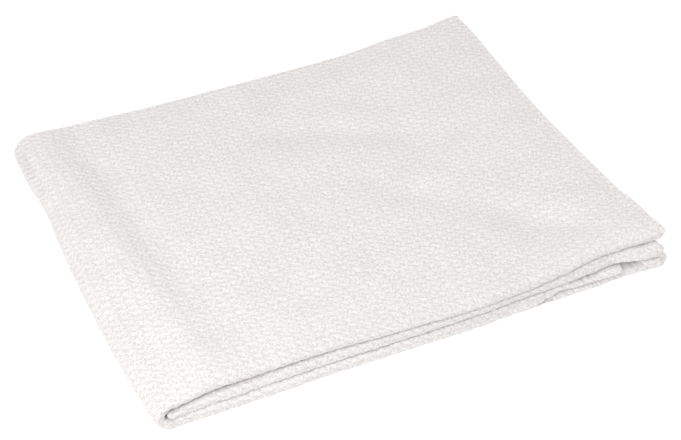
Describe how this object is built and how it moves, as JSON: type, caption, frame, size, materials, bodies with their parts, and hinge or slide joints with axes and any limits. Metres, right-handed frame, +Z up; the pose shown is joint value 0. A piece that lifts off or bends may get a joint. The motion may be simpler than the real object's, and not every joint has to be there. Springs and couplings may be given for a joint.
{
  "type": "hand towel",
  "caption": "White cotton hand towel lying folded, doubled along its length and folded in three, with soft uneven folds.",
  "frame": {"origin": "on the surface that the towel lies on, under the middle of the folded towel's bounding box", "axes": "+X along the folded front edge, from the side fold at the left to the free end at the right; +Y away from the front edge; +Z up out of the stack of plies"},
  "size_m": [0.3394, 0.27, 0.0218],
  "materials": {
    "cotton": "matte, soft lattice weave"
  },
  "bodies": {
    "root": {"towel": "cotton"}
  },
  "joints": []
}
